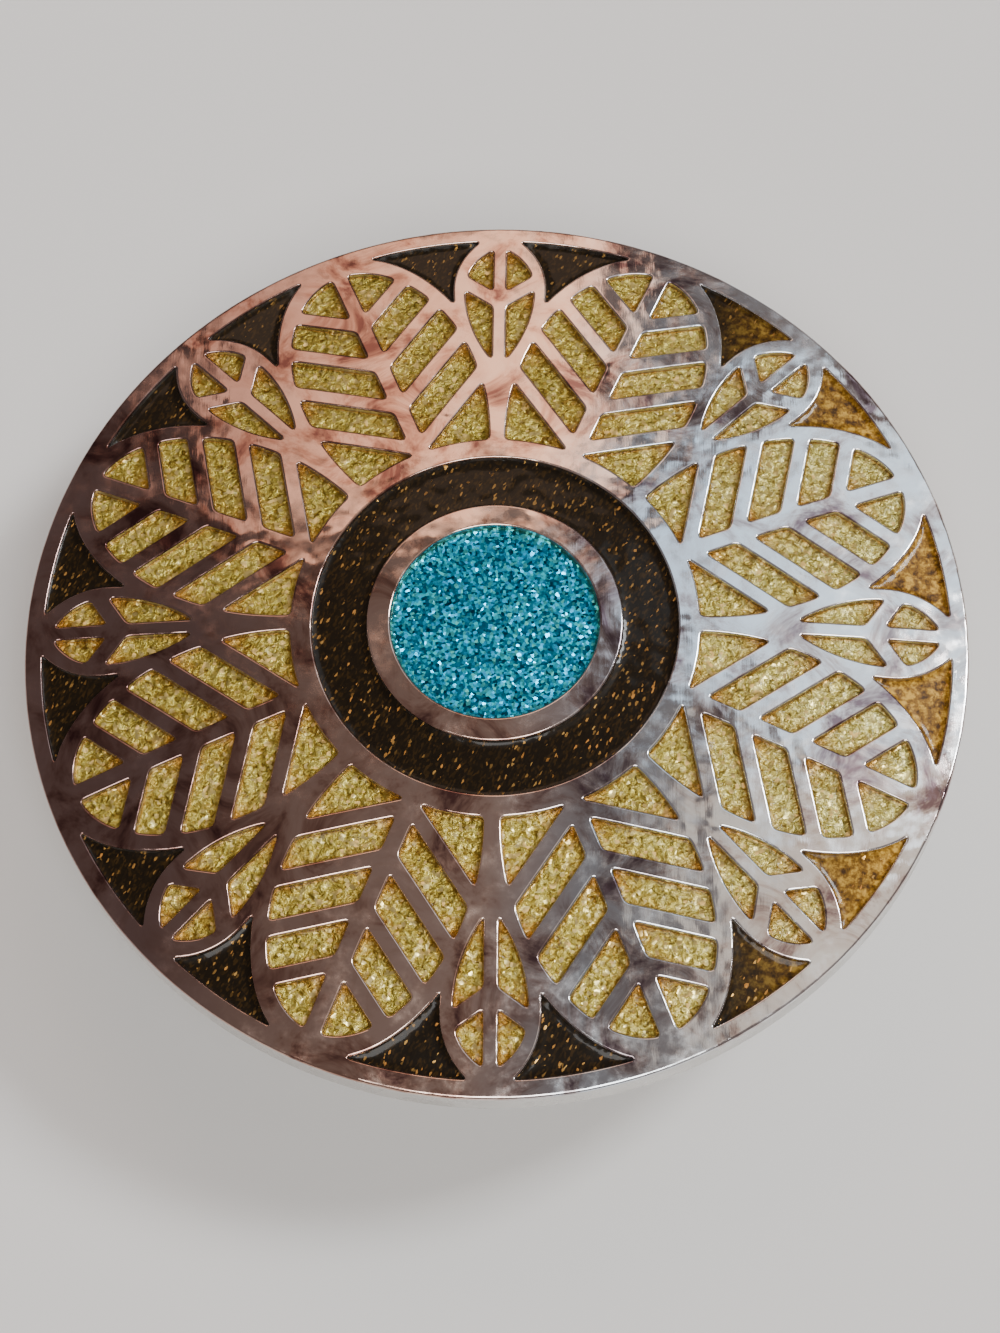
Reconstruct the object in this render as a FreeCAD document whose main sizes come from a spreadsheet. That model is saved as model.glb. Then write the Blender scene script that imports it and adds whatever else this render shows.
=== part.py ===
"""Domed round badge with a raised mandala of leaves, enamel fills, two soldered posts and two butterfly clutches.

In the row's frame the origin lies on the disc's axis, on the table that the clutches' wings stand on. +Z is the way
the face looks and +Y runs along one of the small leaves. The two posts stand on the X axis. The plate, the posts and
the enamel are drawn from the plane of the plate's flat back land and then lifted to land_height.
"""

import FreeCAD, Part
import os

import Sketcher

doc = FreeCAD.newDocument("leaf_badge")
sheet = doc.addObject("Spreadsheet::Sheet", "sizes")
SIZES = [
    # The struck plate.
    ("pin_radius", 19.05), ("edge_height", 1.6), ("crown_radius", 98.0), ("crown_rise", 1.87),
    ("edge_round", 0.15), ("land_width", 0.85), ("dish_depth", 1.75),
    ("cell_depth", 0.55), ("enamel_recess", 0.18), ("prism_foot", 0.5), ("prism_height", 5.0),
    # The rings round the centre and the rim.
    ("centre_radius", 4.17), ("inner_ring_radius", 5.13), ("dark_ring_radius", 7.31),
    ("outer_ring_radius", 8.21), ("rim_inner_radius", 18.31),
    # The pattern repeats, and its large leaves lie half a step away from the small ones.
    ("leaf_count", 8),
    # Large leaf: two ellipses round one centre, a midrib and slanting side veins.
    ("large_centre", 12.0), ("large_length", 5.82), ("large_width", 3.67),
    ("large_outer_length", 6.72), ("large_outer_width", 4.3),
    ("large_midrib", 0.74), ("vein_slant", 33.7), ("vein_first", 10.53), ("vein_pitch", 2.23),
    ("vein_width", 0.68), ("leaf_foot", 8.78),
    # Small leaf: arcs that meet where the leaf is widest, a midrib and one pair of veins.
    ("small_waist", 15.79), ("small_half_width", 1.44), ("small_foot_arc", 6.39), ("small_tip_arc", 2.36),
    ("small_border", 0.53), ("small_tip_outer_arc", 3.44), ("small_midrib", 0.6),
    ("small_vein_start", 14.6), ("small_vein_slant", 35.5), ("small_vein_width", 0.72),
    # Root cells between a small leaf's stem and the ring.
    ("stem_half_width", 0.35), ("stem_arc", 11.6), ("stem_foot", 8.29),
    # The corner fields by the rim start outside this radius.
    ("corner_start", 15.0),
    # The back land stands this high when the clutches are pushed right on and rest on their wings.
    ("land_height", 6.4),
    # Posts: a tack with a flat head, two grooves and a ground tip.
    ("post_spacing", 19.0), ("post_radius", 0.55), ("head_radius", 2.25), ("head_top", 0.95), ("head_foot", 0.55),
    ("groove_depth", 0.19), ("groove_width", 0.56), ("lower_groove", -3.6),
    ("shank_foot", -5.05), ("post_tip", -6.15), ("tip_flat", 0.06), ("solder_radius", 2.5), ("solder_foot", 0.8),
    # Butterfly clutch: its own heights are measured down from its top face.
    ("clutch_top", -0.8), ("cap_radius", 5.6), ("clutch_sheet", 0.4), ("cap_bead", 0.5),
    ("clutch_hole", 0.65), ("hole_flare", 0.35), ("drum_radius", 3.2), ("drum_foot", 3.0), ("drum_hole", 1.0),
    ("slot_width", 4.5), ("slot_height", 0.95), ("jaw_top", 1.15), ("jaw_reach", 0.15), ("jaw_notch", 0.72),
    ("jaw_width", 4.2), ("wing_knee", 3.6), ("wing_lean", 1.1), ("wing_foot", 5.6), ("wing_bend", 0.25),
    ("wing_round", 3.1), ("wing_middle", 2.75),
    ("spring_gap", 0.8), ("spring_wire", 0.15), ("spring_drop", 1.78), ("spring_bend", 1.8), ("spring_end", 2.7),
]
for row, (alias, value) in enumerate(SIZES, start=1):
    sheet.set(f"A{row}", alias)
    sheet.set(f"B{row}", str(value))
    sheet.setAlias(f"B{row}", alias)
doc.recompute()
VALUE = dict(SIZES)
LEAVES = VALUE["leaf_count"]


def cell(text):
    """The formula with each word that names a size turned into a reference to the sheet."""
    out, word = "", ""
    for letter in text + " ":
        if letter.isalnum() or letter == "_":
            word += letter
        else:
            out += ("sizes." + word if word in VALUE else word) + letter
            word = ""
    return out.strip()


def make(kind, name, place=(), turn=None, **formulas):
    """One Part object. Its sizes, its place (x, y, z) and its turn about Z are formulas of the sheet's cells."""
    item = doc.addObject(kind, name)
    for prop, formula in formulas.items():
        item.setExpression(prop, cell(formula))
    for axis, formula in zip("xyz", place):
        item.setExpression(f"Placement.Base.{axis}", cell(formula))
    if turn:
        item.setExpression("Placement.Rotation.Angle", cell(turn))
    return item


def pair(kind, name, base, tool):
    """A Part::Cut or Part::Common of two objects."""
    item = doc.addObject(kind, name)
    item.Base, item.Tool = base, tool
    return item


def several(name, items, turn=None, place=()):
    """A compound of objects, placed and turned about Z as a whole."""
    group = make("Part::Compound", name, place, turn)
    group.Links = items
    return group


def mirrored(name, item):
    """The item reflected in the YZ plane."""
    twin = doc.addObject("Part::Mirroring", name)
    twin.Source = item
    twin.Normal = FreeCAD.Vector(1, 0, 0)
    return twin


def prism(name, radius, x="0", y="0"):
    """An upright cylinder tall enough to cut through the face."""
    return make("Part::Cylinder", name, (x, y, "prism_foot"), Radius=radius, Height="prism_height")


def slab(name, x, y, length, width, turn=None):
    """An upright box that starts at (x, y) and is turned about that corner."""
    return make("Part::Box", name, (x, y, "prism_foot"), turn, Length=length, Width=width, Height="prism_height")


def ball(name, radius, centre):
    """A sphere centred on the disc's axis, with its poles out to the sides, away from the face."""
    item = make("Part::Sphere", name, ("0", "0", centre), Radius=radius)
    item.Placement.Rotation = FreeCAD.Rotation(FreeCAD.Vector(1, 0, 0), 90)
    return item


# Crown, cell floor and enamel surface are spheres round one centre. The back is a shallower dish.
CROWN_CENTRE = "edge_height + crown_rise - crown_radius"
crown = ball("crown_ball", "crown_radius", CROWN_CENTRE)
floor = ball("floor_ball", "crown_radius - cell_depth", CROWN_CENTRE)
fill_top = ball("fill_ball", "crown_radius - enamel_recess", CROWN_CENTRE)
DISH_RADIUS = "((pin_radius - land_width)^2 + dish_depth^2) / (2 * dish_depth)"
dish = ball("dish_ball", DISH_RADIUS, f"dish_depth - {DISH_RADIUS}")

# The blank: a disc with a domed face, a dished back and a rounded upper edge.
disc = make("Part::Cylinder", "blank_disc", Radius="pin_radius", Height="edge_height + crown_rise + 1")
domed = pair("Part::Common", "blank_domed", disc, crown)
blank = pair("Part::Cut", "blank_dished", domed, dish)
doc.recompute()
rounded = doc.addObject("Part::Fillet", "blank_rounded")
rounded.Base = blank
rounded.Edges = [
    (number, VALUE["edge_round"], VALUE["edge_round"])
    for number, edge in enumerate(blank.Shape.Edges, start=1)
    if edge.BoundBox.ZMin > 1.0 and edge.BoundBox.XLength > VALUE["pin_radius"]
]


def ellipse_prism(name, length, width):
    """An upright prism over an ellipse that lies along Y round the large leaf's centre."""
    outline = make("Part::Ellipse", name + "_outline", ("0", "large_centre", "prism_foot"),
                   MajorRadius=length, MinorRadius=width)
    outline.Placement.Rotation = FreeCAD.Rotation(FreeCAD.Vector(0, 0, 1), 90)
    solid = doc.addObject("Part::Extrusion", name)
    solid.Base = outline
    solid.DirMode = "Custom"
    solid.Dir = FreeCAD.Vector(0, 0, 1)
    solid.setExpression("LengthFwd", cell("prism_height"))
    solid.Solid = True
    return solid


# Large leaf, drawn along Y: the right half is a half ellipse that slanting slabs cut into cells.
# Each slab's foot is where its lower edge crosses the leaf's axis.
field = ellipse_prism("large_field", "large_length", "large_width")
right_half = slab("large_right_half", "large_midrib / 2", "0", "large_width * 2", "pin_radius")
right_field = pair("Part::Common", "large_right_field", field, right_half)
VEIN_RISE = "(vein_width / cos(vein_slant * 1deg))"
FEET = ["leaf_foot"] + [f"vein_first + {VEIN_RISE} / 2 + vein_pitch * {step}" for step in range(3)]
HEADS = [f"vein_first - {VEIN_RISE} / 2 + vein_pitch * {step}" for step in range(3)] + ["pin_radius + leaf_foot"]
bands = several("large_bands", [
    slab(f"large_band_{number}", "0", foot, "pin_radius", f"({head} - ({foot})) * cos(vein_slant * 1deg)",
         "vein_slant * 1deg")
    for number, (foot, head) in enumerate(zip(FEET, HEADS), start=1)
])
right_cells = pair("Part::Common", "large_right_cells", right_field, bands)
HALF_STEP = "180deg / leaf_count"
large_cells = several("large_cells", [right_cells, mirrored("large_left_cells", right_cells)], f"-{HALF_STEP}")
large_outer = several("large_outer", [ellipse_prism("large_outer_field", "large_outer_length", "large_outer_width")],
                      f"-{HALF_STEP}")


def leaf_half(name, foot_arc, tip_arc, half_width):
    """The small leaf's outline along Y: crossing arcs below the waist, and tighter ones above it."""
    parts = []
    for end, arc, start in (("foot", foot_arc, "small_waist - pin_radius"), ("tip", tip_arc, "small_waist")):
        right = prism(f"{name}_{end}_right", arc, f"{half_width} - ({arc})", "small_waist")
        left = prism(f"{name}_{end}_left", arc, f"({arc}) - ({half_width})", "small_waist")
        lens = pair("Part::Common", f"{name}_{end}_lens", right, left)
        side = slab(f"{name}_{end}_side", "-pin_radius", start, "2 * pin_radius", "pin_radius")
        parts.append(pair("Part::Common", f"{name}_{end}", lens, side))
    whole = doc.addObject("Part::Fuse", name)
    whole.Base, whole.Tool = parts
    return whole


# Small leaf, drawn along Y: the right half is cut by one slanting vein.
small_field = leaf_half("small_field", "small_foot_arc", "small_tip_arc", "small_half_width")
small_right = pair("Part::Common", "small_right_field", small_field,
                   slab("small_right_half", "small_midrib / 2", "0", "pin_radius", "1.5 * pin_radius"))
small_vein = slab("small_vein", "0", "small_vein_start", "pin_radius", "small_vein_width", "small_vein_slant * 1deg")
small_right_cells = pair("Part::Cut", "small_right_cells", small_right, small_vein)
small_cells = several("small_cells", [small_right_cells, mirrored("small_left_cells", small_right_cells)])
small_outer = leaf_half("small_outer", "small_foot_arc + small_border", "small_tip_outer_arc",
                        "small_half_width + small_border")

# Half a sector: the wedge between a small leaf's axis and a large leaf's.
wedge = make("Part::Cylinder", "half_sector", ("0", "0", "prism_foot"), f"90deg - {HALF_STEP}",
             Radius="pin_radius", Height="prism_height", Angle=HALF_STEP)

# Root cells: outside the ring, beside the curved stem, below the large leaf's foot.
root_space = pair("Part::Cut", "root_space", prism("stem_side", "stem_arc", "stem_half_width + stem_arc", "stem_foot"),
                  prism("ring_outside", "outer_ring_radius"))
foot_line = slab("foot_line", "0", f"leaf_foot - {VEIN_RISE} - pin_radius / cos(vein_slant * 1deg)", "pin_radius",
                 "pin_radius", "vein_slant * 1deg")
foot_both = several("foot_line_left", [mirrored("foot_line_mirrored", foot_line)], f"-{HALF_STEP}")
root_wedge = pair("Part::Common", "root_wedge", root_space, wedge)
root_right = pair("Part::Common", "root_right", root_wedge, foot_both)
root_cells = several("root_cells", [root_right, mirrored("root_left", root_right)])

# Corner fields: what the two leaves leave of the band inside the rim.
band = pair("Part::Cut", "corner_band", prism("rim_inside", "rim_inner_radius"), prism("corner_inside", "corner_start"))
in_wedge = pair("Part::Common", "corner_in_wedge", band, wedge)
past_small = pair("Part::Cut", "corner_past_small", in_wedge, small_outer)
corner_right = pair("Part::Cut", "corner_right", past_small, large_outer)
corner_cells = several("corner_cells", [corner_right, mirrored("corner_left", corner_right)])

# The two round cells in the middle.
dark_cell = pair("Part::Cut", "dark_cell", prism("dark_outside", "dark_ring_radius"),
                 prism("dark_inside", "inner_ring_radius"))
centre_cell = prism("centre_cell", "centre_radius")


def pocket(name, cells):
    """The cells down to their floor, as the cutter that sinks them into the blank."""
    return pair("Part::Cut", name, cells, floor)


def fill(name, cells):
    """The enamel in the cells, from their floor to just below the metal lines."""
    level = pair("Part::Common", name + "_level", cells, fill_top)
    return pair("Part::Cut", name, level, floor)


sector = several("sector_pockets", [
    pocket("large_pockets", large_cells), pocket("small_pockets", small_cells),
    pocket("root_pockets", root_cells), pocket("corner_pockets", corner_cells),
])
cutters = several("all_pockets", [pocket("dark_pocket", dark_cell), pocket("centre_pocket", centre_cell)] + [
    several(f"sector_pockets_{number + 1}", [sector], f"-360deg * {number} / leaf_count") for number in range(LEAVES)
])

# Sub-parts are collected by the name of their file.
nodes = {}
nodes["struck_plate"] = pair("Part::Cut", "struck_plate", rounded, cutters)
nodes["centre_enamel"] = fill("centre_enamel", centre_cell)
nodes["dark_ring_enamel"] = fill("dark_ring_enamel", dark_cell)
for kind, cells in (("large_leaf", large_cells), ("small_leaf", small_cells), ("root", root_cells),
                    ("rim_corner", corner_cells)):
    one = fill(f"{kind}_fill", cells)
    for number in range(LEAVES):
        name = f"{kind}_enamel_{number + 1}"
        nodes[name] = several(name, [one], f"-360deg * {number} / leaf_count")


def read(formula):
    """The value of a formula, worked out by the sheet in a spare cell."""
    sheet.set("D1", "=" + formula)
    sheet.recompute()
    return float(sheet.get("D1"))


def sketched(name, plane_role, profile):
    """A body and, on one of its planes, a closed polygon through corners given as formulas."""
    body = doc.addObject("PartDesign::Body", name)
    sketch = body.newObject("Sketcher::SketchObject", name + "_profile")
    plane = next(item for item in body.Origin.OriginFeatures if item.Role == plane_role)
    sketch.AttachmentSupport = [(plane, "")]
    sketch.MapMode = "FlatFace"
    corners = [FreeCAD.Vector(read(across), read(up), 0) for across, up in profile]
    for index, corner in enumerate(corners):
        sketch.addGeometry(Part.LineSegment(corner, corners[(index + 1) % len(corners)]), False)
    for index in range(len(corners)):
        sketch.addConstraint(Sketcher.Constraint("Coincident", index, 2, (index + 1) % len(corners), 1))
    for index, formulas in enumerate(profile):
        for letter, formula, value in zip("XY", formulas, corners[index]):
            at = sketch.addConstraint(Sketcher.Constraint(f"Distance{letter}", -1, 1, index, 1, value))
            sketch.renameConstraint(at, f"{letter.lower()}_{index}")
            sketch.setExpression(f"Constraints.{letter.lower()}_{index}", cell(formula))
    doc.recompute()
    return body, sketch


def turned(name, profile, place=()):
    """A body revolved about its own Z axis from (radius, height) corners."""
    body, sketch = sketched(name, "XZ_Plane", profile)
    revolved = body.newObject("PartDesign::Revolution", name + "_turned")
    revolved.Profile = sketch
    revolved.ReferenceAxis = (sketch, ["V_Axis"])
    revolved.Angle = 360
    for axis, formula in zip("xyz", place):
        body.setExpression(f"Placement.Base.{axis}", cell(formula))
    return body


def padded(name, profile, width):
    """A body of one width, centred on the YZ plane, from (y, z) corners."""
    body, sketch = sketched(name, "YZ_Plane", profile)
    pad = body.newObject("PartDesign::Pad", name + "_pad")
    pad.Profile = sketch
    pad.Midplane = True
    pad.setExpression("Length", cell(width))
    return body


# Plate, rings and leaves are lifted together.
for item in nodes.values():
    item.setExpression("Placement.Base.z", cell("land_height"))

# Posts and their solder. The upper groove is where the clutch's spring grips; the lower one ends the part of the
# shank that the clutch hides.
GROOVED = "post_radius - groove_depth"
GRIP = "clutch_top - spring_drop + groove_width / 2"
SIDES = (("left", "-post_spacing / 2"), ("right", "post_spacing / 2"))
for side, x in SIDES:
    nodes[f"{side}_post"] = turned(f"{side}_post", [
        ("0", "head_top"), ("head_radius", "head_top"), ("head_radius", "head_foot"), ("post_radius", "head_foot"),
        ("post_radius", GRIP), (GROOVED, f"{GRIP} - groove_depth"),
        (GROOVED, f"{GRIP} - groove_width + groove_depth"), ("post_radius", f"{GRIP} - groove_width"),
        ("post_radius", "lower_groove"), (GROOVED, "lower_groove - groove_depth"),
        (GROOVED, "lower_groove - groove_width + groove_depth"), ("post_radius", "lower_groove - groove_width"),
        ("post_radius", "shank_foot"), ("tip_flat", "post_tip"), ("0", "post_tip"),
    ], (x, "0", "land_height"))
    # The solder fills between the head and the dished back and makes a low collar round the head's edge.
    puddle = make("Part::Cylinder", f"{side}_solder_puddle", (x, "0", "solder_foot"),
                  Radius="solder_radius", Height="dish_depth")
    under = pair("Part::Common", f"{side}_solder_under", puddle, dish)
    seat = make("Part::Cylinder", f"{side}_solder_seat", (x, "0", "head_foot"),
                Radius="head_radius", Height="head_top - head_foot")
    nodes[f"{side}_solder"] = pair("Part::Cut", f"{side}_solder", under, seat)
    nodes[f"{side}_solder"].setExpression("Placement.Base.z", cell("land_height"))

# Clutch cap: a washer with a rolled rim and a flared hole.
washer = make("Part::Cylinder", "cap_washer", ("0", "0", "-clutch_sheet"), Radius="cap_radius - cap_bead",
              Height="clutch_sheet")
bead = make("Part::Torus", "cap_rolled_rim", ("0", "0", "-cap_bead"), Radius1="cap_radius - cap_bead",
            Radius2="cap_bead")
rimmed = doc.addObject("Part::Fuse", "cap_rimmed")
rimmed.Base, rimmed.Tool = washer, bead
hole = make("Part::Cylinder", "cap_hole", ("0", "0", "-2 * clutch_sheet"), Radius="clutch_hole",
            Height="3 * clutch_sheet")
flare = make("Part::Cone", "cap_hole_flare", ("0", "0", "-clutch_sheet / 2"), Radius1="clutch_hole",
             Radius2="clutch_hole + hole_flare", Height="clutch_sheet / 2")
cap = pair("Part::Cut", "cap_flared", pair("Part::Cut", "cap_drilled", rimmed, hole), flare)

# Clutch drum: a can under the cap, with a slot on each side for a wing.
can = turned("drum_can", [
    ("drum_hole", "-drum_foot"), ("drum_radius", "-drum_foot"), ("drum_radius", "-clutch_sheet"),
    ("drum_radius - clutch_sheet", "-clutch_sheet"), ("drum_radius - clutch_sheet", "clutch_sheet - drum_foot"),
    ("drum_hole", "clutch_sheet - drum_foot"),
])
slot = make("Part::Box", "drum_slot", ("-slot_width / 2", "-2 * drum_radius",
            "-jaw_top - clutch_sheet / 2 - slot_height / 2"),
            Length="slot_width", Width="4 * drum_radius", Height="slot_height")
drum = pair("Part::Cut", "drum_slotted", can, slot)

# Clutch spring: a hairpin of wire that runs past both sides of the post.
legs = [make("Part::Cylinder", f"spring_leg_{number}", ("spring_bend", y, "-spring_drop"),
             Radius="spring_wire", Height="spring_bend + spring_end")
        for number, y in enumerate(("-spring_gap", "spring_gap"), start=1)]
for leg in legs:
    leg.Placement.Rotation = FreeCAD.Rotation(FreeCAD.Vector(0, 1, 0), -90)
bend = make("Part::Torus", "spring_hairpin", ("spring_bend", "0", "-spring_drop"), "-90deg",
            Radius1="spring_gap", Radius2="spring_wire", Angle3="180deg")
legs_only = doc.addObject("Part::MultiFuse", "spring_whole")
legs_only.Shapes = [*legs, bend]
spring = legs_only

# Clutch wing: one bent sheet. Its jaw reaches through the slot to the post and its ear hangs down and leans out.
bent = padded("wing_sheet", [
    ("jaw_reach", "-jaw_top"), ("wing_knee - wing_bend", "-jaw_top"),
    ("wing_knee + clutch_sheet - wing_bend / 2", "-jaw_top - wing_bend / 2"),
    ("wing_knee + clutch_sheet", "-jaw_top - clutch_sheet - wing_bend / 2"),
    ("wing_knee + clutch_sheet + wing_lean", "-wing_foot"), ("wing_knee + wing_lean", "-wing_foot"),
    ("wing_knee", "-jaw_top - clutch_sheet - wing_bend"), ("wing_knee - wing_bend", "-jaw_top - clutch_sheet"),
    ("jaw_reach", "-jaw_top - clutch_sheet"),
], "2 * wing_round")
ear = make("Part::Cylinder", "wing_ear", ("0", "wing_knee", "-wing_middle"), Radius="wing_round", Height="4")
ear.Placement.Rotation = FreeCAD.Rotation(FreeCAD.Vector(1, 0, 0), -90)
neck = make("Part::Box", "wing_neck", ("-jaw_width / 2", "0", "-jaw_top - 2 * clutch_sheet"),
            Length="jaw_width", Width="wing_knee + 2 * clutch_sheet", Height="4 * clutch_sheet")
outline = doc.addObject("Part::Fuse", "wing_outline")
outline.Base, outline.Tool = ear, neck
notch = make("Part::Cylinder", "wing_notch", ("0", "0", "-wing_foot"), Radius="jaw_notch", Height="wing_foot")
wing = pair("Part::Cut", "wing_notched", pair("Part::Common", "wing_trimmed", bent, outline), notch)

for side, x in SIDES:
    place = (x, "0", "land_height + clutch_top")
    for part, shape, turn in (("cap", cap, None), ("drum", drum, None), ("spring", spring, None),
                              ("wing_upper", wing, None), ("wing_lower", wing, "180deg")):
        name = f"{side}_clutch_{part}"
        nodes[name] = several(name, [shape], turn, place)

doc.recompute()
for item in doc.Objects:
    if {"Invalid", "Error"} & set(item.State):
        raise RuntimeError(f"{item.Name}: {item.State}")

os.makedirs("parts", exist_ok=True)
for name, item in nodes.items():
    item.Label = name
    shape = item.Shape
    if shape.isNull() or not shape.isValid() or not shape.Solids:
        raise RuntimeError(f"{name} has no valid solid")
    shape.exportStep(f"parts/{name}.step")
    print(name, len(shape.Solids), round(shape.Volume, 3))
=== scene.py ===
"""A domed enamel pin with a raised mandala of leaves, standing on the wings of its two butterfly clutches."""

import math

import bpy
from mathutils import Matrix, Vector, geometry, kdtree, noise


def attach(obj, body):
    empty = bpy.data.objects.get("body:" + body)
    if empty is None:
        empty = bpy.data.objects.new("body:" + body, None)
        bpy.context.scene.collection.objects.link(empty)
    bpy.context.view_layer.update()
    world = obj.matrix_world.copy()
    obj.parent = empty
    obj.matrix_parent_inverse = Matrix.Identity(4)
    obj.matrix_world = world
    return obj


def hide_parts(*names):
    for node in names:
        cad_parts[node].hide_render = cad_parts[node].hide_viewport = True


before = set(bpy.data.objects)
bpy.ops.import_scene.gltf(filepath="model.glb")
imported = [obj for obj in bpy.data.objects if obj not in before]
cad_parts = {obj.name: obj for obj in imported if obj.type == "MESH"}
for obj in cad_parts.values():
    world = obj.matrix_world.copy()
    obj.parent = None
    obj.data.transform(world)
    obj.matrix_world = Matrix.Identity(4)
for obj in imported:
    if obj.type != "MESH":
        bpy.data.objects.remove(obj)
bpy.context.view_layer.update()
noise.seed_set(7)


# ----------------------------------------------------------------------------------------------------------
# The struck plate: a domed brass disc whose lines stand above the cells, plated bright and polished. Its
# lines have soft edges and fine polishing scratches, its plating is smudged and slightly tarnished, and its
# back is a plain shallow dish. Sizes are in millimetres, on the table that the pin stands on.

MM = 0.001
PIN_RADIUS = 19.05
CROWN_RADIUS = 98.0
CROWN_TOP = 9.87
EDGE_ROUND = 0.1
EDGE_DROP = 0.06
LINE_DEPTH = 0.5
RIM_ROUND = 0.15
LAND = 6.4
LAND_INNER = 18.2
DISH_DEPTH = 1.75
COLUMNS = 720
OUTLINE_STEP = 0.12
GRID_STEP = 0.32
GRID_CLEARANCE = 0.14
ROW_RATIO = 0.866


def crown(x, y):
    """The height of the dome above the table."""
    return CROWN_TOP - CROWN_RADIUS + math.sqrt(CROWN_RADIUS ** 2 - x * x - y * y)


def outlines(part):
    """The closed outlines of a CAD part's upward faces, seen from above."""
    mesh = part.data
    places = [(part.matrix_world @ vertex.co) / MM for vertex in mesh.vertices]
    tree = kdtree.KDTree(len(places))
    for i, place in enumerate(places):
        tree.insert(place, i)
    tree.balance()
    index = [min(found[1] for found in tree.find_range(place, 0.003)) for place in places]
    turn = part.matrix_world.to_3x3()
    edges = {}
    for face in mesh.polygons:
        if (turn @ face.normal).normalized().z > 0.6:
            ring = [index[v] for v in face.vertices]
            for a, b in zip(ring, ring[1:] + ring[:1]):
                if a != b and not edges.pop((b, a), None):
                    edges[(a, b)] = True
    after = {a: b for a, b in edges}
    loops = []
    while after:
        start, at = after.popitem()
        loop = [start]
        while at != start:
            loop.append(at)
            at = after.pop(at)
        loops.append([places[i].xy for i in loop])
    return loops


def resampled(loop, step):
    """The outline with even points on smooth curves between its corners, which are slightly rounded."""
    points = [p for i, p in enumerate(loop) if (p - loop[i - 1]).length > 0.004]
    count = len(points)
    corner = []
    for i, point in enumerate(points):
        before, ahead = point - points[i - 1], points[(i + 1) % count] - point
        corner.append(abs(before.angle_signed(ahead)) > math.radians(24))
    out = []
    for i in range(count):
        a, b = points[i], points[(i + 1) % count]
        length = (b - a).length
        into = (b - a) if corner[i] else (b - points[i - 1]) * (length / (b - points[i - 1]).length)
        beyond = points[(i + 2) % count]
        out_of = (b - a) if corner[(i + 1) % count] else (beyond - a) * (length / (beyond - a).length)
        parts = max(1, round(length / step))
        for k in range(parts):
            t = k / parts
            out.append(a * (2 * t ** 3 - 3 * t ** 2 + 1) + into * (t ** 3 - 2 * t ** 2 + t)
                       + b * (3 * t ** 2 - 2 * t ** 3) + out_of * (t ** 3 - t ** 2))
    for _ in range(2):
        out = [(out[i - 1] + p * 2 + out[(i + 1) % len(out)]) / 4 for i, p in enumerate(out)]
    return out


def beside(loop, distance):
    """The outline moved sideways, away from the cell."""
    out = []
    for i, point in enumerate(loop):
        along = loop[(i + 1) % len(loop)] - loop[i - 1]
        out.append(point + Vector((along.y, -along.x)).normalized() * distance)
    return out


def triangles(loops, extra, wanted):
    """Fills outlines with faces: the points, the wanted faces and the place of each outline point."""
    flat, rings = [], []
    for loop in loops:
        ring = list(range(len(flat), len(flat) + len(loop)))
        flat += loop
        clockwise = sum(loop[i - 1].cross(loop[i]) for i in range(len(loop))) < 0
        rings.append(ring[::-1] if clockwise else ring)
    flat, _, tris, origins, _, within = geometry.delaunay_2d_cdt(flat + extra, [], rings, 0, 1e-5)
    tris = [tri for tri, held in zip(tris, within) if wanted(held)]
    used = sorted({i for tri in tris for i in tri})
    place = {old: new for new, old in enumerate(used)}
    seat = {given: place[i] for i in used for given in origins[i]}
    return [flat[i] for i in used], [[place[i] for i in tri] for tri in tris], seat


def circle(radius, height):
    """Evenly spaced points round the pin's middle."""
    turns = (math.tau * i / COLUMNS for i in range(COLUMNS))
    return [(radius * math.cos(turn), radius * math.sin(turn), height) for turn in turns]


def band(upper, lower):
    """The faces between two rows of points that go round, the upper one first."""
    count = len(upper)
    return [(upper[i], upper[(i + 1) % count], lower[(i + 1) % count], lower[i]) for i in range(count)]


# The cells are where the CAD's enamel is. Their outlines, moved out by the softness of the edge, and the
# rim's circle bound the flat tops of the lines.
cells = {name: [resampled(loop, OUTLINE_STEP) for loop in outlines(part)]
         for name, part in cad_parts.items() if "_enamel" in name}
cell_loops = [loop for loops in cells.values() for loop in loops]
centre_at = cell_loops.index(cells["centre_enamel"][0])
dark_inner, dark_outer = (cell_loops.index(loop)
                          for loop in sorted(cells["dark_ring_enamel"], key=lambda loop: loop[0].length))
shoulders = [beside(loop, EDGE_ROUND) for loop in cell_loops]
rim = len(shoulders)
FACE_RADIUS = PIN_RADIUS - RIM_ROUND
rim_circle = [Vector(point[:2]) for point in circle(FACE_RADIUS, 0)]
near = kdtree.KDTree(sum(len(loop) for loop in shoulders) + COLUMNS)
for i, point in enumerate([p for loop in shoulders for p in loop] + rim_circle):
    near.insert(point.to_3d(), i)
near.balance()
between = []
reach = int(PIN_RADIUS / (GRID_STEP * ROW_RATIO))
for row in range(-reach, reach + 1):
    for column in range(-reach, reach + 1):
        spot = Vector((column + (row % 2) / 2, row * ROW_RATIO)) * GRID_STEP
        if spot.length < FACE_RADIUS - EDGE_ROUND and near.find(spot.to_3d())[2] > GRID_CLEARANCE:
            between.append(spot)


def is_metal(held):
    """Whether a face lies on the lines: inside the rim and in no cell, or between the two round cells."""
    inside = set(held)
    if rim not in inside or centre_at in inside:
        return False
    return not inside - {rim} or inside == {rim, dark_outer, dark_inner}


flat, faces, seat = triangles(shoulders + [rim_circle], between, is_metal)
verts = [(p.x, p.y, crown(p.x, p.y)) for p in flat]
facing = [Vector((p.x, p.y, CROWN_RADIUS)).normalized() for p in flat]

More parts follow.
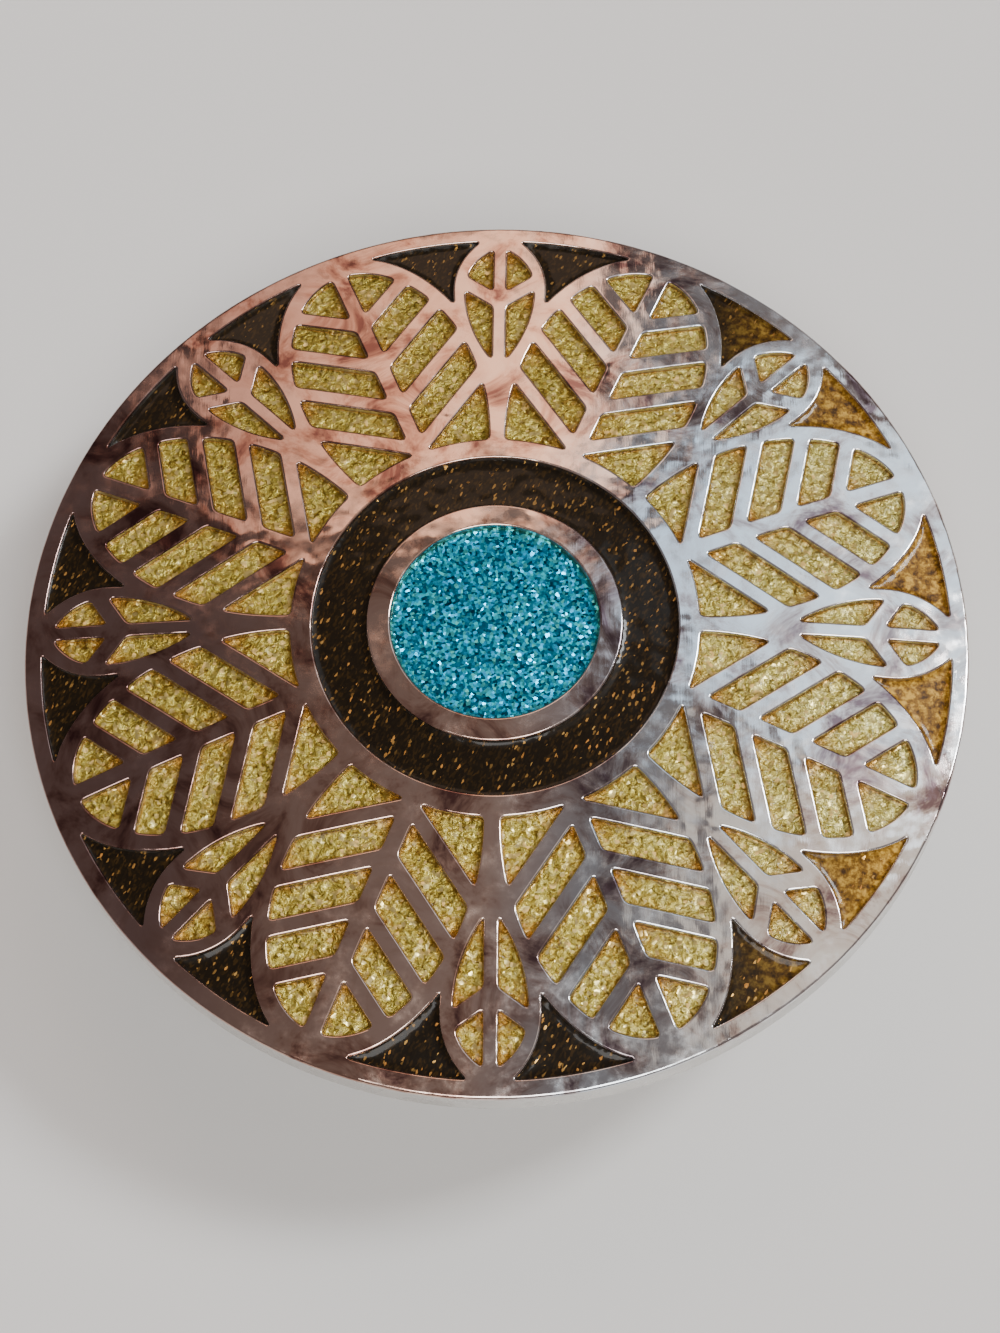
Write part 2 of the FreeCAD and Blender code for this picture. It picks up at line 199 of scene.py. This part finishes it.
# Round each cell the line's edge falls away in three steps, each with its slope in degrees, then as a wall.
passed = 0
for loop, shoulder in zip(cell_loops, shoulders):
    upper = [seat[passed + i] for i in range(len(loop))]
    passed += len(loop)
    for angle, foot in ((60, 0), (30, 0), (0, 0), (0, LINE_DEPTH)):
        slope = math.radians(angle)
        drawn_in = EDGE_ROUND * (1 - math.cos(slope))
        fall = foot or EDGE_DROP * (1 - math.sin(slope))
        lower = list(range(len(verts), len(verts) + len(loop)))
        for p, q, edge in zip(loop, shoulder, beside(loop, drawn_in) if drawn_in else loop):
            verts.append((edge.x, edge.y, crown(edge.x, edge.y) - fall))
            out = (p - q).normalized()
            facing.append(Vector((out.x * math.cos(slope), out.y * math.cos(slope), math.sin(slope))))
        faces += band(upper, lower)
        upper = lower

# The rim and the back: a radius, a height and a slope in degrees at each step from the face to the middle
# of the dish.
profile = [(FACE_RADIUS + RIM_ROUND * math.sin(math.radians(slope)),
            crown(FACE_RADIUS, 0) - RIM_ROUND * (1 - math.cos(math.radians(slope))), slope)
           for slope in range(15, 91, 15)]
profile += [(PIN_RADIUS - inset, LAND + height, slope)
            for inset, height, slope in ((0, 0.25, 90), (0.04, 0.12, 120), (0.12, 0.04, 150), (0.25, 0, 180))]
profile.append((LAND_INNER, LAND, 180))
DISH_RADIUS = (LAND_INNER ** 2 + DISH_DEPTH ** 2) / (2 * DISH_DEPTH)
profile += [(r, LAND + DISH_DEPTH - DISH_RADIUS + math.sqrt(DISH_RADIUS ** 2 - r * r),
             180 - math.degrees(math.asin(r / DISH_RADIUS)))
            for r in (18, 17, 15.5, 14, 12, 10, 8, 6, 4, 2, 0.5)]
upper = [seat[passed + i] for i in range(COLUMNS)]
for radius, height, slope in profile:
    lower = list(range(len(verts), len(verts) + COLUMNS))
    verts += circle(radius, height)
    side, level = math.sin(math.radians(slope)), math.cos(math.radians(slope))
    facing += [Vector(point) for point in circle(side, level)]
    faces += [face[::-1] for face in band(upper, lower)]
    upper = lower
faces.append(upper[::-1])

mesh = bpy.data.meshes.new("plate")
mesh.from_pydata([(x * MM, y * MM, z * MM) for x, y, z in verts], [], faces)
mesh.shade_smooth()
mesh.normals_split_custom_set_from_vertices(facing)
plate = bpy.data.objects.new("plate", mesh)
bpy.context.collection.objects.link(plate)


def join(tree, start, end):
    """Links two shader sockets."""
    tree.links.new(start, end)


def node(tree, kind, **values):
    """A shader node, with its inputs set by name and its own settings by attribute."""
    made = tree.nodes.new(kind)
    for key, value in values.items():
        if hasattr(made, key):
            setattr(made, key, value)
        else:
            made.inputs[key.replace("_", " ")].default_value = value
    return made


def principled(name, **values):
    """A new material, its node tree, its Principled BSDF and the place on the object."""
    made = bpy.data.materials.new(name)
    made.use_nodes = True
    tree = made.node_tree
    shader = tree.nodes["Principled BSDF"]
    for key, value in values.items():
        shader.inputs[key.replace("_", " ")].default_value = value
    return made, tree, shader, node(tree, "ShaderNodeTexCoord").outputs["Object"]


def cloud(tree, where, **values):
    """A noise over the surface, as a value."""
    made = node(tree, "ShaderNodeTexNoise", **values)
    join(tree, where, made.inputs["Vector"])
    return made.outputs["Fac"]


def ramp(tree, value, *stops):
    """A colour ramp over a value, from (position, colour) stops."""
    made = node(tree, "ShaderNodeValToRGB")
    spots = made.color_ramp.elements
    while len(spots) < len(stops):
        spots.new(0.5)
    for spot, (position, colour) in zip(spots, stops):
        spot.position, spot.color = position, (*colour, 1)
    join(tree, value, made.inputs["Fac"])
    return made.outputs["Color"]


def stretched(tree, value, low, high, start=0.0, end=1.0):
    """A value's span from low to high, stretched to another span and held inside it."""
    made = node(tree, "ShaderNodeMapRange", From_Min=low, From_Max=high, To_Min=start, To_Max=end)
    join(tree, value, made.inputs["Value"])
    return made.outputs["Result"]


def along(tree, vector, axis):
    """One coordinate of a vector."""
    made = node(tree, "ShaderNodeSeparateXYZ")
    join(tree, vector, made.inputs["Vector"])
    return made.outputs[axis]


def mixed(tree, factor, first, second, data_type="RGBA"):
    """From the first colour or vector to the second one, by a factor. The second may be a plain colour."""
    made = node(tree, "ShaderNodeMix", data_type=data_type)
    join(tree, factor, made.inputs["Factor"])
    join(tree, first, made.inputs["A"])
    if isinstance(second, tuple):
        made.inputs["B"].default_value = (*second, 1)
    else:
        join(tree, second, made.inputs["B"])
    return made.outputs["Result"]


def bumped(tree, height, strength, distance, over=None):
    """A normal from a height, on top of another bump or none."""
    made = node(tree, "ShaderNodeBump", Strength=strength, Distance=distance)
    join(tree, height, made.inputs["Height"])
    if over is not None:
        join(tree, over, made.inputs["Normal"])
    return made.outputs["Normal"]


# Tarnish lies in patches. Over it lies a painted reflection: the plating turns from a dark brownish pink at
# the left to a cold silver at the right, standing in for the warm and cool light that it mirrors.
metal, tree, shader, where = principled("plated_face", Metallic=1.0)
tarnish = ramp(tree, cloud(tree, where, Scale=330.0, Detail=5.0, Roughness=0.66, Distortion=0.8),
               (0.35, (0.26, 0.17, 0.18)), (0.43, (0.62, 0.5, 0.46)), (0.5, (0.86, 0.8, 0.77)),
               (0.6, (0.96, 0.95, 0.94)))
rightward = node(tree, "ShaderNodeMath", operation="MULTIPLY_ADD")
join(tree, along(tree, where, "Y"), rightward.inputs[0])
rightward.inputs[1].default_value = -0.12
join(tree, along(tree, where, "X"), rightward.inputs[2])
# Painted reflection: dark and brownish pink at the left, pale cold silver at the right.
painted_reflection = ramp(tree, stretched(tree, rightward.outputs["Value"], -0.012, 0.014),
           (0.0, (0.34, 0.23, 0.21)), (0.25, (0.66, 0.47, 0.39)), (0.5, (0.9, 0.7, 0.6)),
           (0.66, (0.7, 0.78, 0.86)), (1.0, (0.97, 0.99, 1.0)))
tarnish_and_painted_reflection = node(tree, "ShaderNodeMix", data_type="RGBA", blend_type="MULTIPLY")
tarnish_and_painted_reflection.inputs["Factor"].default_value = 1.0
join(tree, tarnish, tarnish_and_painted_reflection.inputs["A"])
join(tree, painted_reflection, tarnish_and_painted_reflection.inputs["B"])

# The side and the back have a plainer, duller plating, told by which way the surface faces.
behind = stretched(tree, along(tree, node(tree, "ShaderNodeTexCoord").outputs["Normal"], "Z"), 0.35, 0.05)
dull_plating = ramp(tree, cloud(tree, where, Scale=240.0, Detail=6.0, Roughness=0.6),
                    (0.3, (0.6, 0.58, 0.55)), (0.65, (0.76, 0.74, 0.71)))
join(tree, mixed(tree, behind, tarnish_and_painted_reflection.outputs["Result"], dull_plating), shader.inputs["Base Color"])
smudge = stretched(tree, cloud(tree, where, Scale=650.0, Detail=5.0, Roughness=0.7), 0.42, 0.7, 0.07, 0.3)
gloss = node(tree, "ShaderNodeMath", operation="MULTIPLY_ADD")
join(tree, behind, gloss.inputs[0])
gloss.inputs[1].default_value = 0.16
join(tree, smudge, gloss.inputs[2])
join(tree, gloss.outputs["Value"], shader.inputs["Roughness"])

# The polish left shallow waves and fine scratches, all one way.
wave = bumped(tree, cloud(tree, where, Scale=520.0, Detail=2.0), 0.6, 0.00014)
one_way = node(tree, "ShaderNodeMapping", vector_type="POINT", Rotation=(0, 0, math.radians(48)),
               Scale=(1, 0.05, 1))
join(tree, where, one_way.inputs["Vector"])
scratch = cloud(tree, one_way.outputs["Vector"], Scale=14000.0, Detail=2.0)
join(tree, bumped(tree, scratch, 0.25, 0.000005, over=wave), shader.inputs["Normal"])
plate.data.materials.append(metal)
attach(plate, "pin")
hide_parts("struck_plate")


# ----------------------------------------------------------------------------------------------------------
# The gold enamel of the leaves and of the root cells between them: translucent, poured over a crinkled ground
# that glitters. It creeps up the walls of its cells, and turns orange-brown in narrow corners. Along the
# walls it turns a darker brown, partly the colour of the thicker enamel there and partly painted shade.
# Towards the right it is painted lighter and yellower, standing in for light from that side.

GOLD_LEAVES = ("large_leaf", "small_leaf", "root")
WALL_CREEP = 0.07

# Flat flakes of glitter, each with a random value and a lean of its own. Length draws them out one way.
flakes = bpy.data.node_groups.new("flakes", "ShaderNodeTree")
for label, value in (("Scale", 5000.0), ("Tilt", 0.5), ("Length", 1.0)):
    flakes.interface.new_socket(label, in_out="INPUT", socket_type="NodeSocketFloat").default_value = value
for label, kind in (("Random", "NodeSocketFloat"), ("Normal", "NodeSocketVector")):
    flakes.interface.new_socket(label, in_out="OUTPUT", socket_type=kind)
given, result = flakes.nodes.new("NodeGroupInput"), flakes.nodes.new("NodeGroupOutput")
turned = node(flakes, "ShaderNodeVectorRotate", rotation_type="Z_AXIS", Angle=math.radians(28))
join(flakes, node(flakes, "ShaderNodeTexCoord").outputs["Object"], turned.inputs["Vector"])
shorter = node(flakes, "ShaderNodeMath", operation="DIVIDE")
shorter.inputs[0].default_value = 1.0
join(flakes, given.outputs["Length"], shorter.inputs[1])
shape = node(flakes, "ShaderNodeCombineXYZ", X=1.0, Z=1.0)
join(flakes, shorter.outputs["Value"], shape.inputs["Y"])
drawn_out = node(flakes, "ShaderNodeVectorMath", operation="MULTIPLY")
join(flakes, turned.outputs["Vector"], drawn_out.inputs[0])
join(flakes, shape.outputs["Vector"], drawn_out.inputs[1])
grain = node(flakes, "ShaderNodeTexVoronoi", feature="F1")
join(flakes, drawn_out.outputs["Vector"], grain.inputs["Vector"])
join(flakes, given.outputs["Scale"], grain.inputs["Scale"])
chance = node(flakes, "ShaderNodeSeparateColor")
join(flakes, grain.outputs["Color"], chance.inputs["Color"])
centred = node(flakes, "ShaderNodeVectorMath", operation="SUBTRACT")
join(flakes, grain.outputs["Color"], centred.inputs[0])
centred.inputs[1].default_value = (0.5, 0.5, 0.5)
tilt = node(flakes, "ShaderNodeVectorMath", operation="SCALE")
join(flakes, centred.outputs["Vector"], tilt.inputs[0])
join(flakes, given.outputs["Tilt"], tilt.inputs["Scale"])
lean = node(flakes, "ShaderNodeVectorMath", operation="ADD")
join(flakes, tilt.outputs["Vector"], lean.inputs[0])
join(flakes, node(flakes, "ShaderNodeNewGeometry").outputs["Normal"], lean.inputs[1])
unit = node(flakes, "ShaderNodeVectorMath", operation="NORMALIZE")
join(flakes, lean.outputs["Vector"], unit.inputs[0])
join(flakes, chance.outputs["Green"], result.inputs["Random"])
join(flakes, unit.outputs["Vector"], result.inputs["Normal"])


def glitter(tree, scale, tilt, length=1.0):
    """The flakes in a material: their random value and their normal."""
    made = node(tree, "ShaderNodeGroup", node_tree=flakes)
    for label, value in (("Scale", scale), ("Tilt", tilt), ("Length", length)):
        made.inputs[label].default_value = value
    return made.outputs["Random"], made.outputs["Normal"]


def stored(tree, name):
    """A value stored on the mesh's points."""
    return node(tree, "ShaderNodeAttribute", attribute_name=name).outputs["Fac"]


def pour(name, material, step, sunk, crinkle, size):
    """Fills the cells of one CAD part, wall to wall, and stores how near the walls and sharp corners are.

    The surface is sunk below the lines, with crinkles of a given height and size, and points a step apart.
    """
    loops = cells[name]
    points = [p for loop in loops for p in loop]
    walls = kdtree.KDTree(len(points))
    for i, point in enumerate(points):
        walls.insert(point.to_3d(), i)
    walls.balance()
    sharp = []
    for loop in loops:
        for i, point in enumerate(loop):
            if (point - loop[i - 3]).angle(loop[(i + 3) % len(loop)] - point) > math.radians(95):
                sharp.append(point)
    left, right = min(p.x for p in points), max(p.x for p in points)
    bottom, top = min(p.y for p in points), max(p.y for p in points)
    grid = []
    for row in range(int((top - bottom) / (step * ROW_RATIO)) + 1):
        for column in range(int((right - left) / step) + 1):
            spot = Vector((left + (column + (row % 2) / 2) * step, bottom + row * step * ROW_RATIO))
            if walls.find(spot.to_3d())[2] > step * 0.45:
                grid.append(spot)
    flat, tris, _ = triangles(loops, grid, lambda held: len(held) == 1)
    verts, corner, wall = [], [], []
    for p in flat:
        gap = walls.find(p.to_3d())[2]
        creep = WALL_CREEP * math.exp(-gap / 0.1)
        bump = crinkle * noise.noise(Vector((p.x / size, p.y / size, 3.0))) * min(1.0, gap / 0.15)
        verts.append((p.x * MM, p.y * MM, (crown(p.x, p.y) - sunk + creep + bump) * MM))
        corner.append(math.exp(-min([(p - q).length for q in sharp], default=9.0) / 0.5))
        wall.append(math.exp(-gap / 0.08))
    mesh = bpy.data.meshes.new(name)
    mesh.from_pydata(verts, [], tris)
    mesh.shade_smooth()
    mesh.attributes.new("corner", "FLOAT", "POINT").data.foreach_set("value", corner)
    mesh.attributes.new("wall", "FLOAT", "POINT").data.foreach_set("value", wall)
    mesh.materials.append(material)
    fill = bpy.data.objects.new(name + "_fill", mesh)
    bpy.context.collection.objects.link(fill)
    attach(fill, "pin")
    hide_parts(name)


gold, tree, shader, where = principled("gold_enamel", Metallic=0.8, Roughness=0.32, Coat_Weight=0.15,
                                       Coat_Roughness=0.1)
crumple = cloud(tree, where, Scale=3300.0, Detail=3.0, Roughness=0.55, Distortion=1.4)
olive = ramp(tree, crumple, (0.32, (0.14, 0.09, 0.007)), (0.46, (0.38, 0.3, 0.04)),
             (0.66, (0.7, 0.6, 0.15)))
painted_lit_gold = ramp(tree, crumple, (0.32, (0.3, 0.25, 0.05)), (0.46, (0.66, 0.63, 0.2)),
             (0.66, (0.9, 0.9, 0.5)))
# Painted light: the gold turns lighter and yellower towards the right, as if lit from that side.
body = mixed(tree, stretched(tree, along(tree, where, "X"), 0.004, 0.016, 0.0, 0.5), olive, painted_lit_gold)
random, leaning = glitter(tree, 6500.0, 0.7)
fleck = stretched(tree, random, 0.78, 0.9)
body = mixed(tree, fleck, body, (0.95, 0.8, 0.3))
body = mixed(tree, stored(tree, "corner"), body, (0.45, 0.14, 0.01))
# Along the walls: the brown of the thicker enamel there, and partly painted shade where the walls shade it.
body = mixed(tree, stored(tree, "wall"), body, (0.26, 0.12, 0.012))
join(tree, body, shader.inputs["Base Color"])
folds = bumped(tree, crumple, 1.0, 0.00014)
join(tree, mixed(tree, fleck, folds, leaning, "VECTOR"), shader.inputs["Normal"])
for leaf in GOLD_LEAVES:
    for number in range(1, 9):
        pour(f"{leaf}_enamel_{number}", gold, 0.1, 0.33, 0.1, 0.28)


# ----------------------------------------------------------------------------------------------------------
# The dark amber enamel of the ring round the centre and of the corner fields at the rim: deep and glossy,
# with a few narrow glints that all slant one way. Towards the right it is painted lighter, a cloudy orange,
# standing in for light from that side.

amber, tree, shader, where = principled("amber_enamel", Roughness=0.35, Specular_IOR_Level=0.1,
                                        Coat_Weight=0.25, Coat_Roughness=0.08)
random, leaning = glitter(tree, 14000.0, 0.8, 2.2)
murky = ramp(tree, random, (0.0, (0.007, 0.004, 0.0015)), (0.6, (0.01, 0.006, 0.002)),
             (1.0, (0.035, 0.018, 0.004)))
bright = ramp(tree, cloud(tree, where, Scale=2600.0, Detail=5.0, Roughness=0.7),
              (0.38, (0.07, 0.028, 0.002)), (0.5, (0.32, 0.15, 0.011)), (0.62, (0.85, 0.5, 0.08)))
# Painted light: from the middle towards the right the amber turns to the lit, cloudy orange.
painted_light_rightward = stretched(tree, along(tree, where, "X"), 0.009, 0.0155, 0.0, 0.8)
glint = stretched(tree, random, 0.955, 0.99)
body = mixed(tree, glint, mixed(tree, painted_light_rightward, murky, bright), (0.62, 0.34, 0.09))
join(tree, body, shader.inputs["Base Color"])
join(tree, glint, shader.inputs["Metallic"])
smooth = node(tree, "ShaderNodeNewGeometry").outputs["Normal"]
join(tree, mixed(tree, glint, smooth, leaning, "VECTOR"), shader.inputs["Normal"])
for name in [f"rim_corner_enamel_{number}" for number in range(1, 9)] + ["dark_ring_enamel"]:
    pour(name, amber, 0.16, 0.3, 0.012, 0.5)


# ----------------------------------------------------------------------------------------------------------
# The centre: clear enamel packed with teal glitter, a little greener where it thins out along the wall.

teal, tree, shader, where = principled("teal_enamel", Metallic=0.9, Roughness=0.25, Coat_Weight=0.1,
                                       Coat_Roughness=0.05)
random, leaning = glitter(tree, 8500.0, 0.8)
shade = ramp(tree, random, (0.0, (0.0, 0.05, 0.1)), (0.35, (0.0, 0.22, 0.38)), (0.8, (0.0, 0.52, 0.8)),
             (1.0, (0.12, 0.9, 0.95)))
join(tree, mixed(tree, stored(tree, "wall"), shade, (0.02, 0.2, 0.14)), shader.inputs["Base Color"])
join(tree, leaning, shader.inputs["Normal"])
pour("centre_enamel", teal, 0.15, 0.36, 0.015, 0.4)


# ----------------------------------------------------------------------------------------------------------
# Two plated tack posts stand on the back, each with a grooved shank and a point. A pool of dull, lumpy
# solder holds each one's head to the dish.


def finished(part, material):
    """Gives a CAD part its material and soft edges."""
    part.data.materials.clear()
    part.data.materials.append(material)
    soften = part.modifiers.new("soft_edges", "BEVEL")
    soften.width, soften.segments, soften.limit_method = 0.00006, 2, "ANGLE"
    soften.angle_limit = math.radians(35)


plated, tree, shader, where = principled("plated_fittings", Metallic=1.0, Base_Color=(0.72, 0.7, 0.67, 1))
patchy = cloud(tree, where, Scale=600.0, Detail=3.0)
join(tree, stretched(tree, patchy, 0.3, 0.7, 0.16, 0.34), shader.inputs["Roughness"])
join(tree, bumped(tree, patchy, 0.2, 0.00003), shader.inputs["Normal"])

solder, tree, shader, where = principled("solder", Metallic=1.0, Base_Color=(0.5, 0.49, 0.47, 1),
                                         Roughness=0.45)
lumpy = cloud(tree, where, Scale=1500.0, Detail=2.0)
join(tree, bumped(tree, lumpy, 0.6, 0.0001), shader.inputs["Normal"])
for side in ("left", "right"):
    finished(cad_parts[f"{side}_post"], plated)
    finished(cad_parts[f"{side}_solder"], solder)


# ----------------------------------------------------------------------------------------------------------
# A butterfly clutch grips each post: a washer with a rolled rim, a drum pressed under it, a hairpin spring
# round the shank and two bent sheet wings that open the spring when they are squeezed.

for name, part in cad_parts.items():
    if "clutch" in name:
        finished(part, plated)


# ----------------------------------------------------------------------------------------------------------
# The studio: a pale floor, soft light from above, and cards of warm, cool and cream light that the plating
# mirrors. The camera looks down on the face. Places are in metres.

floor_mesh = bpy.data.meshes.new("floor")
floor_mesh.from_pydata([(-0.6, -0.6, 0), (0.6, -0.6, 0), (0.6, 0.6, 0), (-0.6, 0.6, 0)], [], [(0, 1, 2, 3)])
floor = bpy.data.objects.new("floor", floor_mesh)
bpy.context.collection.objects.link(floor)
floor_mesh.materials.append(principled("floor", Base_Color=(0.8, 0.79, 0.77, 1), Roughness=0.7)[0])

world = bpy.data.worlds.new("studio")
world.use_nodes = True
world.node_tree.nodes["Background"].inputs["Color"].default_value = (0.44, 0.38, 0.37, 1)
world.node_tree.nodes["Background"].inputs["Strength"].default_value = 0.5
bpy.context.scene.world = world


def panel(name, place, size, power, colour):
    """A soft square light that faces the pin."""
    light = bpy.data.lights.new(name, "AREA")
    light.shape, light.size, light.energy, light.color = "SQUARE", size, power, colour
    holder = bpy.data.objects.new(name, light)
    holder.location = place
    holder.rotation_euler = (Vector((0, 0, 0.008)) - Vector(place)).to_track_quat("-Z", "Y").to_euler()
    bpy.context.collection.objects.link(holder)


panel("warm", (-0.13, 0.78, 0.82), 0.5, 1.5, (1.0, 0.66, 0.48))
panel("cool", (0.42, 0.5, 0.95), 0.5, 1.0, (0.7, 0.86, 1.0))
panel("cream", (0.42, 0.06, 1.0), 0.42, 0.35, (1.0, 0.87, 0.72))
panel("key", (0.78, 0.36, 0.86), 0.26, 9.0, (0.96, 0.98, 1.0))
panel("top", (0.1, -0.6, 1.0), 0.6, 9.0, (1.0, 0.99, 0.97))

FRAME_HEIGHT = 1333
FOCAL_LENGTH = 2967.8
FIT_UNIT = 0.0189
aim = (Matrix.Rotation(-0.3932, 3, "X") @ Matrix.Rotation(-0.0187, 3, "Y")
       @ Matrix.Rotation(-0.0112, 3, "Z")).transposed()
pin_seen_at = Vector((-0.0110, 0.0997, -6.248)) * FIT_UNIT
lens = bpy.data.cameras.new("camera")
lens.sensor_width, lens.sensor_fit = 36.0, "AUTO"
lens.lens = lens.sensor_width * FOCAL_LENGTH / FRAME_HEIGHT
lens.clip_start, lens.clip_end = 0.01, 10
camera = bpy.data.objects.new("camera", lens)
stand = Vector((0, 0, CROWN_TOP * MM)) - aim @ pin_seen_at
camera.matrix_world = Matrix.Translation(stand) @ aim.to_4x4()
bpy.context.collection.objects.link(camera)
bpy.context.scene.camera = camera
